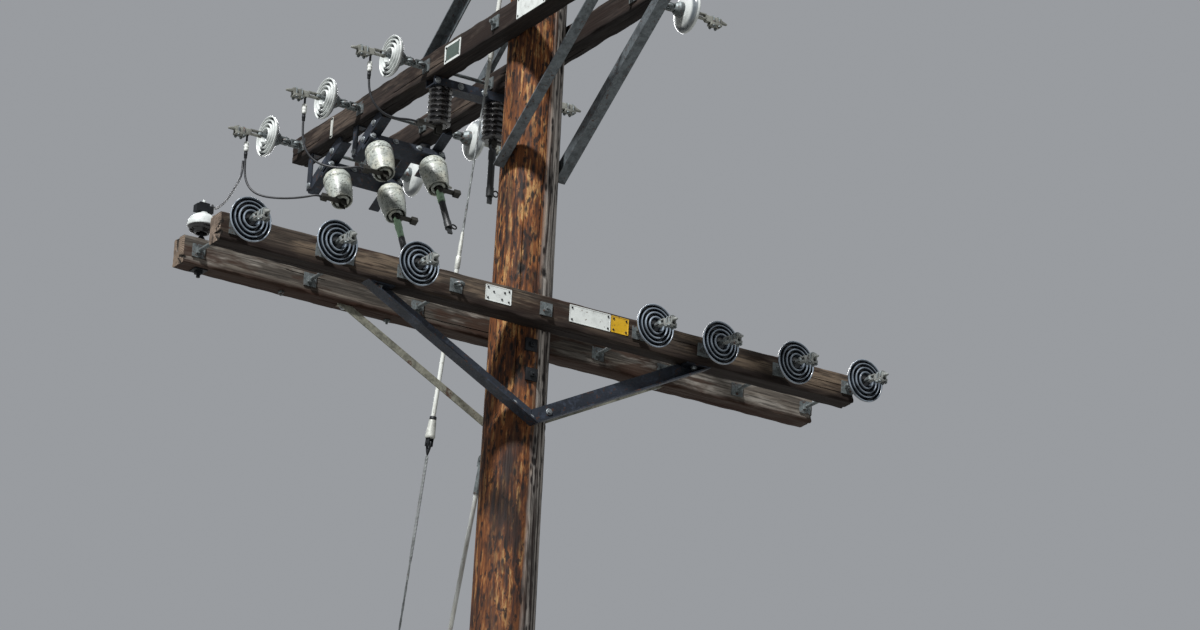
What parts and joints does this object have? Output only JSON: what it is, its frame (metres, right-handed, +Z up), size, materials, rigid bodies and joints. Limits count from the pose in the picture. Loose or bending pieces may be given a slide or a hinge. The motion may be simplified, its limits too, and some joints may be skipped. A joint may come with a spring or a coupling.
{
  "type": "wooden utility pole",
  "caption": "Round wooden utility pole with two levels of double crossarms, disc insulator strings, hanging fuse switches, steel braces and guys down to an anchor.",
  "frame": {"origin": "centre of the pole at the ground line", "axes": "+Z up the pole, +X along the lower crossarms, +Y along the upper crossarms toward the guys"},
  "size_m": [3.1592, 3.67, 11.4],
  "materials": {
    "resin_streaked_pole": "round pole wood with orange resin streaks and dark checks",
    "weathered_arm_wood": "sawn timber, weathered grey-brown",
    "dark_arm_wood": "sawn timber, treated, dark brown",
    "dark_brace_steel": "dark dull steel",
    "galvanised_steel": "dull galvanised steel with light rust",
    "grey_green_glaze": "dark grey-green glazed porcelain",
    "white_glaze": "white glazed porcelain",
    "speckled_grey_glaze": "pale grey speckled porcelain",
    "dark_glaze": "dark glazed porcelain",
    "clamp_aluminium": "cast aluminium, dull",
    "dull_clamp_metal": "malleable iron, galvanised, dulled",
    "dark_contact_metal": "dark weathered metal",
    "green_fuse_tube": "pale green fibre tube with dark ends",
    "dark_fuse_tube": "dark fibre tube",
    "jumper_cover": "dark covered wire",
    "guy_strand_wire": "galvanised seven-wire strand",
    "white_fibreglass": "white coated fibreglass rod"
  },
  "bodies": {
    "pole_and_gear": {"pole": "resin_streaked_pole", "front_lower_arm": "weathered_arm_wood", "rear_lower_arm": "weathered_arm_wood", "left_upper_arm": "dark_arm_wood", "right_upper_arm": "dark_arm_wood", "front_lower_braces": "dark_brace_steel", "rear_lower_braces": "galvanised_steel", "upper_down_braces": "dark_brace_steel", "upper_raised_braces": "dark_brace_steel", "lower_arm_bolts": "galvanised_steel", "upper_arm_bolts": "galvanised_steel", "lower_eyebolts": "galvanised_steel", "lower_insulators": "grey_green_glaze", "lower_insulator_caps": "galvanised_steel", "lower_strain_clamps": "clamp_aluminium", "upper_eyebolts": "galvanised_steel", "upper_insulators": "white_glaze", "upper_insulator_caps": "galvanised_steel", "upper_strain_clamps": "dull_clamp_metal", "pin_insulator": "white_glaze", "pin_insulator_pin": "galvanised_steel", "switch_hangers": "dark_brace_steel", "switch_bases": "dark_brace_steel", "tapered_insulators": "speckled_grey_glaze", "ribbed_insulators": "dark_glaze", "outer_switch_contacts": "dark_contact_metal", "middle_switch_contacts": "dark_contact_metal", "inner_switch_contacts": "dark_contact_metal", "outer_jumper": "jumper_cover", "middle_jumper": "jumper_cover", "inner_jumper": "jumper_cover", "pin_jumper": "jumper_cover", "top_guy_eye": "galvanised_steel", "top_guy_strands": "guy_strand_wire", "top_guy_rods": "white_fibreglass", "top_guy_fittings": "galvanised_steel", "low_guy_eye": "galvanised_steel", "low_guy_strand": "guy_strand_wire", "low_guy_rod": "white_fibreglass", "low_guy_fitting": "galvanised_steel", "guy_anchor": "galvanised_steel"},
    "outer_tube": {"outer_switch_tube": "green_fuse_tube"},
    "middle_tube": {"middle_switch_tube": "green_fuse_tube"},
    "inner_tube": {"inner_switch_tube": "dark_fuse_tube"}
  },
  "joints": [
    {"name": "outer_tube_hinge", "type": "hinge", "parent": "pole_and_gear", "child": "outer_tube", "pos_m": [0.1375, 1.42405, 9.80018], "axis": [0, 0.8829, -0.4695], "range_deg": [-10, 90]},
    {"name": "middle_tube_hinge", "type": "hinge", "parent": "pole_and_gear", "child": "middle_tube", "pos_m": [0.1375, 1.04005, 9.81018], "axis": [0, 0.8829, -0.4695], "range_deg": [-10, 90]},
    {"name": "inner_tube_hinge", "type": "hinge", "parent": "pole_and_gear", "child": "inner_tube", "pos_m": [0.1375, 0.578, 9.877], "axis": [0, 1, 0], "range_deg": [-10, 90]}
  ]
}
